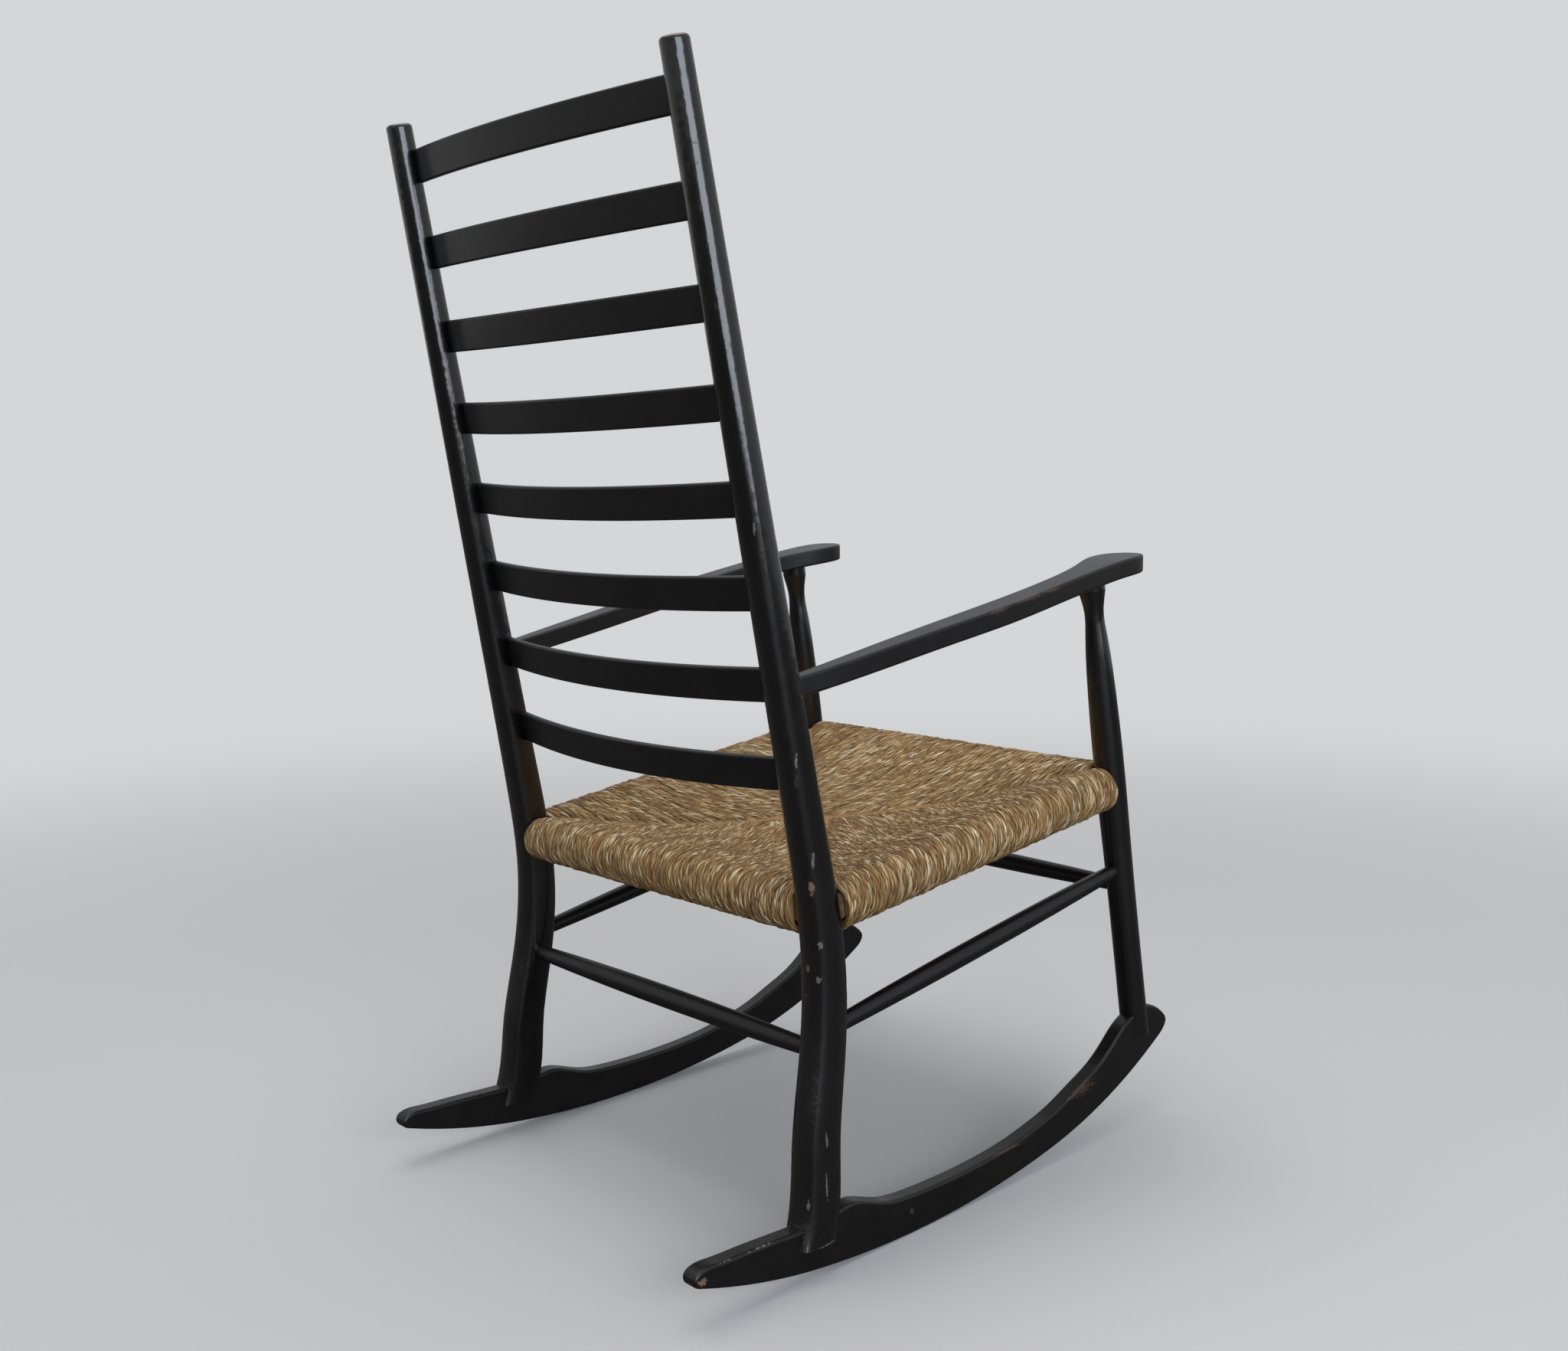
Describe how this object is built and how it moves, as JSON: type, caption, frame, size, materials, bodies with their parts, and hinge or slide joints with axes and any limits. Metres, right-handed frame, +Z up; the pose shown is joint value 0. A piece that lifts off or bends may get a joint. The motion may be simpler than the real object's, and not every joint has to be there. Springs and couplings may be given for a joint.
{
  "type": "rocking chair",
  "caption": "High-back ladder-back rocking chair: black lacquered wood on slim sawn runners, with bowed back slats, shaped armrests and a sagging woven rush seat.",
  "frame": {"origin": "on the floor under the middle of the chair's bounding box", "axes": "+Z up, the chair faces -Y, +X is the sitter's left"},
  "size_m": [0.52, 0.704, 1.0799],
  "materials": {
    "black_lacquer": "black satin lacquer on wood, worn brown at edges",
    "bare_beech": "bare sawn beech",
    "rush": "natural twisted rush, dry and matt",
    "pin_lacquer": "dark stained dowel end grain"
  },
  "bodies": {
    "root": {"rear_post_left": "black_lacquer", "rear_post_right": "black_lacquer", "back_slat_1": "black_lacquer", "back_slat_2": "black_lacquer", "back_slat_3": "black_lacquer", "back_slat_4": "black_lacquer", "back_slat_5": "black_lacquer", "back_slat_6": "black_lacquer", "back_slat_7": "black_lacquer", "back_slat_8": "black_lacquer", "front_leg_left": "black_lacquer", "front_leg_right": "black_lacquer", "armrest_left": "black_lacquer", "armrest_right": "black_lacquer", "runner_left": "black_lacquer", "runner_right": "black_lacquer", "stretcher_front": "black_lacquer", "stretcher_rear": "black_lacquer", "stretcher_left": "black_lacquer", "stretcher_right": "black_lacquer", "seat_rail_front": "bare_beech", "seat_rail_rear": "bare_beech", "seat_rail_left": "bare_beech", "seat_rail_right": "bare_beech", "rush_seat": "rush", "rear_joint_pins": "pin_lacquer", "front_joint_pins": "pin_lacquer"}
  },
  "joints": []
}
